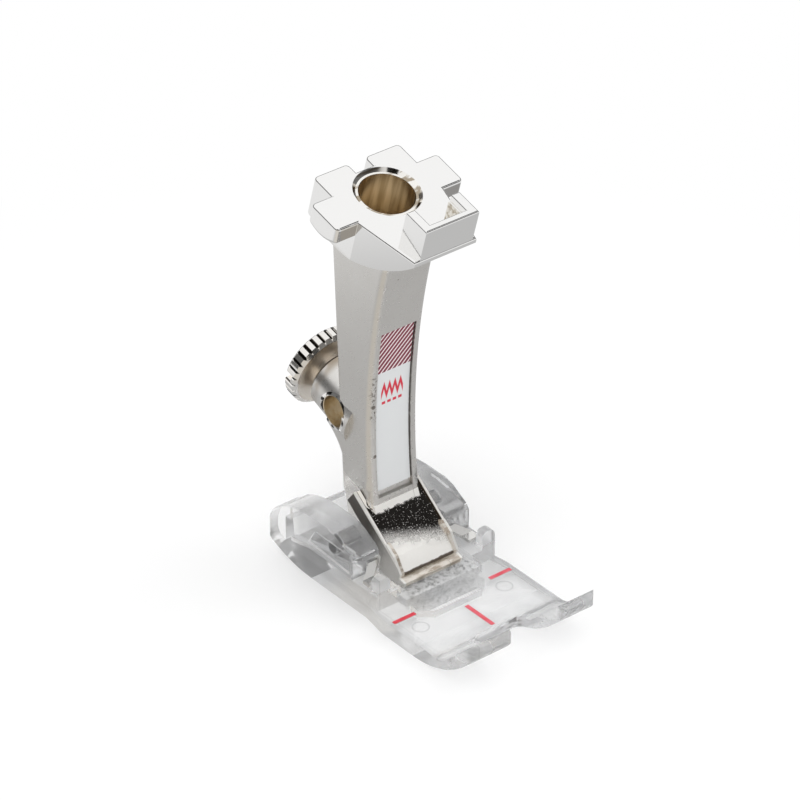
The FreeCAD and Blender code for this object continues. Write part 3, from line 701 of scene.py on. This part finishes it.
def clear_plastic():
    """Clear moulding with a flat glossy plate, streaky toes, frosted fingers and ejector marks."""
    material, nodes, shader = new_material("clear plastic")
    at = read_place(nodes, "part place")
    sole = sole_masks(nodes, at)
    streaks = nodes.noise(nodes.scaled(at.point, (0.35, 1.4, 2.4)), 1.0, 4.0, 0.65)
    flow = nodes.noise(at.point, 0.45, 2.0)
    mist = nodes.noise(at.point, 2.6, 4.0, 0.7)

    nodes.link(plastic_tone(nodes, sole, flow, streaks), shader.inputs["Base Color"])
    rough = nodes.blend(sole.toe, PLATE_ROUGHNESS, nodes.ramp(streaks, 0.3, 0.7, *TOE_ROUGHNESS))
    nodes.link(nodes.blend(sole.frosted, rough, FROSTED_ROUGHNESS), shader.inputs["Roughness"])
    shader.inputs["IOR"].default_value = PLASTIC_INDEX
    shader.inputs["Transmission Weight"].default_value = PLASTIC_CLEARNESS

    streaky = nodes.times(nodes.either(sole.toe, sole.mottle), streaks)
    height = nodes.plus(streaky, nodes.times(sole.frosted, mist, 0.5))
    height = nodes.minus(nodes.plus(height, nodes.times(flow, 0.8)), sole.ring)
    nodes.link(nodes.bump(height, strength=0.22, distance=0.1 * MM), shader.inputs["Normal"])
    return material


def stripes(nodes, x, z):
    """Mask of the hatched field's slanting stripes."""
    wave = nodes.math("FRACT", nodes.times(nodes.minus(z, x), 1 / HATCH_STRIPE))
    return nodes.band(wave, 0.5, half=0.28, edge=0.10)


def stitch_motif(nodes, x, z):
    """Mask of a small sign: a zigzag stitch over a row of straight stitches."""
    u = nodes.minus(x, MOTIF_X)
    v = nodes.minus(z, MOTIF_Z)
    inside = nodes.under(nodes.absolute(u), MOTIF_HALF_WIDTH)
    rise = 4 * ZIGZAG_HALF_HEIGHT / ZIGZAG_PITCH
    swing = nodes.math("PINGPONG", u, ZIGZAG_PITCH / 2)
    line = nodes.minus(nodes.times(swing, rise), ZIGZAG_HALF_HEIGHT)
    away = nodes.times(nodes.absolute(nodes.minus(v, line)), math.cos(math.atan(rise)))
    zigzag = nodes.ramp(away, STROKE_HALF + STROKE_EDGE, STROKE_HALF - STROKE_EDGE)
    row = nodes.band(v, -DASH_DROP, half=STROKE_HALF, edge=0.05)
    wave = nodes.math("FRACT", nodes.times(nodes.plus(u, 2 * MOTIF_HALF_WIDTH), 1 / DASH_PITCH))
    dash = nodes.band(wave, 0.5, half=0.3, edge=0.05)
    return nodes.times(inside, nodes.either(zigzag, nodes.times(row, dash)))


def label_film():
    """White film with a hatched field at its head and a stitch sign under it."""
    material, nodes, shader = new_material("label film")
    parts = nodes.split(place_from(nodes, "bore place"))
    x = parts[0]
    z = parts[2]
    field = nodes.over(z, LABEL_TOP - HATCH_LENGTH)
    hatch = nodes.mix(stripes(nodes, x, z), *HATCH_PAIR)
    paper = nodes.mix(stitch_motif(nodes, x, z), *MOTIF_PAIR)
    nodes.link(nodes.mix(field, paper, hatch), shader.inputs["Base Color"])
    shader.inputs["Roughness"].default_value = PRINT_ROUGHNESS
    return material


def mark_paint():
    """Red print, a little uneven and deeper on the left mark."""
    material, nodes, shader = new_material("mark paint")
    place = place_from(nodes, "part place")
    uneven = nodes.patches(0.35, 0.65, place, 1.1)
    left = nodes.under(nodes.split(place)[0], RIGHT_OF_LEFT_MARK)
    pale = nodes.mix(uneven, *PALE_RED_PAIR)
    deep = nodes.mix(uneven, *DEEP_RED_PAIR)
    nodes.link(nodes.mix(left, pale, deep), shader.inputs["Base Color"])
    shader.inputs["Roughness"].default_value = PRINT_ROUGHNESS
    return material


def dress(node, material, edge=0.0):
    """Gives a frame node one material, and its sharp edges a small round."""
    mesh = node.data
    mesh.materials.clear()
    mesh.materials.append(material)
    if edge:
        rounding = node.modifiers.new("edge rounding", "BEVEL")
        rounding.width = edge
        rounding.segments = ROUND_STEPS
        rounding.limit_method = "ANGLE"
        rounding.angle_limit = SHARP_ANGLE
        rounding.use_clamp_overlap = True


def mirror_rays(nodes, rays):
    """Mask of rays that a surface has mirrored, without those that passed through clear plastic."""
    return nodes.times(rays["Is Glossy Ray"], nodes.inverse(rays["Is Transmission Ray"]))


def floor_disc():
    """Round flat floor under the part."""
    mesh = bpy.data.meshes.new("floor")
    body = bmesh.new()
    bmesh.ops.create_circle(body, cap_ends=True, radius=FLOOR_RADIUS, segments=FLOOR_SIDES)
    body.to_mesh(mesh)
    body.free()
    disc = bpy.data.objects.new("floor", mesh)
    bpy.context.collection.objects.link(disc)
    return disc


def floor_white():
    """Pale matt floor that keeps the shadow near the object and fades to white; to mirrored rays it
    glows with painted shade, darker near the object and warm on one side.
    """
    material, nodes, shader = new_material("floor white")
    shader.inputs["Base Color"].default_value = FLOOR_WHITE
    shader.inputs["Roughness"].default_value = FLOOR_ROUGHNESS
    shader.inputs["Specular IOR Level"].default_value = 0.0
    place = object_place(nodes)
    reach = nodes.length(place)
    rays = nodes.add("ShaderNodeLightPath").outputs
    mirrored = mirror_rays(nodes, rays)
    seen = nodes.either(rays["Is Camera Ray"], rays["Is Transmission Ray"])
    fade = nodes.times(nodes.ramp(reach, SHADOW_START, SHADOW_END), seen)

    way = nodes.vector_math("NORMALIZE", place)[0]
    side = nodes.ramp(nodes.dot(way, FLOOR_SIDE), *FLOOR_SIDE_LIMITS)
    # Painted shade seen in metal: darker near the part, warm on one side
    level = nodes.ramp(reach, MIRRORED_START, MIRRORED_END, *MIRRORED_LEVELS)
    tint = nodes.mix(side, nodes.combine(level, level, level), FLOOR_WARM)
    glow = nodes.add("ShaderNodeEmission", {"Color": nodes.mix(mirrored, WHITE, tint), "Strength": 1.0})
    blend = nodes.add("ShaderNodeMixShader", {0: nodes.either(fade, mirrored)})
    nodes.link(shader.outputs[0], blend.inputs[1])
    nodes.link(glow.outputs[0], blend.inputs[2])
    nodes.link(blend.outputs[0], nodes.tree.nodes["Material Output"].inputs[0])
    return material


def floor():
    """Floor that belongs to the stage and not to the part."""
    plane = floor_disc()
    plane.data.materials.append(floor_white())


def dark_patch(nodes, direction, towards, radius, edge):
    """Mask of a round patch of the room about one direction, sizes in degrees."""
    near = math.cos(math.radians(radius))
    far = math.cos(math.radians(radius + edge))
    return nodes.ramp(nodes.dot(direction, towards), far, near)


def mirrored_room(nodes, direction, height):
    """Room that metal mirrors: white, with a dim side, a dark belt and dark round patches."""
    side = nodes.ramp(nodes.dot(direction, ROOM_SIDE), *ROOM_SIDE_LIMITS)
    low = nodes.ramp(height, DIM_FADE_FROM, DIM_TOP, 1.0, 0.0)
    belt = nodes.times(nodes.band(height, BELT_MIDDLE, half=BELT_HALF, edge=0.05), BELT_DARKNESS)
    patches = [dark_patch(nodes, direction, *patch) for patch in DARK_PATCHES]
    dark = nodes.either(belt, *patches)
    return nodes.paint(WHITE, (nodes.times(side, low), ROOM_DIM), (dark, ROOM_DARK))


def world():
    """Surroundings: white to the camera, hazy through the plastic and a whole room in the metal."""
    space = bpy.data.worlds.new("white room")
    space.use_nodes = True
    bpy.context.scene.world = space
    nodes = Nodes(space.node_tree)
    rays = nodes.add("ShaderNodeLightPath").outputs
    direction = object_place(nodes)
    height = nodes.split(direction)[2]
    haze = nodes.times(nodes.band(height, HAZE_MIDDLE, half=HAZE_HALF, edge=0.12), HAZE_DARKNESS)
    seen = nodes.paint(
        ROOM_LIGHT,
        (rays["Is Transmission Ray"], nodes.mix(haze, WHITE, ROOM_HAZE)),
        (mirror_rays(nodes, rays), mirrored_room(nodes, direction, height)),
        (rays["Is Camera Ray"], WHITE),
    )
    nodes.link(seen, space.node_tree.nodes["Background"].inputs["Color"])


def area_lamp(name, spot, size, power):
    """Round lamp aimed at the foot, unseen in metal and through plastic."""
    lamp = bpy.data.lights.new(name, "AREA")
    lamp.shape = "DISK"
    lamp.size = size
    lamp.energy = power
    holder = bpy.data.objects.new(name, lamp)
    bpy.context.collection.objects.link(holder)
    holder.location = spot
    holder.rotation_mode = "QUATERNION"
    aim = Vector(LAMP_AIM) - Vector(spot)
    holder.rotation_quaternion = aim.to_track_quat("-Z", "Y")
    holder.visible_glossy = False
    holder.visible_transmission = False


def camera():
    """Camera with the photograph's view."""
    eye = bpy.data.cameras.new("photo view")
    eye.lens = CAMERA_LENS
    eye.sensor_width = CAMERA_SENSOR
    eye.clip_start = CAMERA_NEAR
    eye.clip_end = CAMERA_FAR
    holder = bpy.data.objects.new("photo view", eye)
    bpy.context.collection.objects.link(holder)
    back = (Vector(CAMERA_SPOT) - Vector(CAMERA_AIM)).normalized()
    look = back.to_track_quat("Z", "Y")
    roll = Matrix.Rotation(math.radians(CAMERA_ROLL), 4, back)
    holder.matrix_world = Matrix.Translation(CAMERA_SPOT) @ roll @ look.to_matrix().to_4x4()
    bpy.context.scene.camera = holder


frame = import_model()
nodes_by_name = frame["nodes"]

make_places()
red_print = mark_paint()
dress(nodes_by_name["shank"], nickel_shank(), SHANK_ROUND)
dress(nodes_by_name["clamp_screw"], screw_nickel())
dress(nodes_by_name["hinge_pin"], steel("pin steel", PIN_GREY, PIN_ROUGHNESS))
dress(nodes_by_name["leaf_spring"], steel("spring steel", SPRING_GREY, SPRING_ROUGHNESS))
dress(nodes_by_name["clear_sole"], clear_plastic(), SOLE_ROUND)
nodes_by_name["clear_sole"].visible_shadow = False
dress(nodes_by_name["front_label"], label_film())
for mark in ("left_mark", "middle_mark", "right_mark"):
    dress(nodes_by_name[mark], red_print)

floor()
world()
for lamp_values in LAMPS:
    area_lamp(*lamp_values)
camera()

bpy.context.scene.view_settings.view_transform = "Standard"
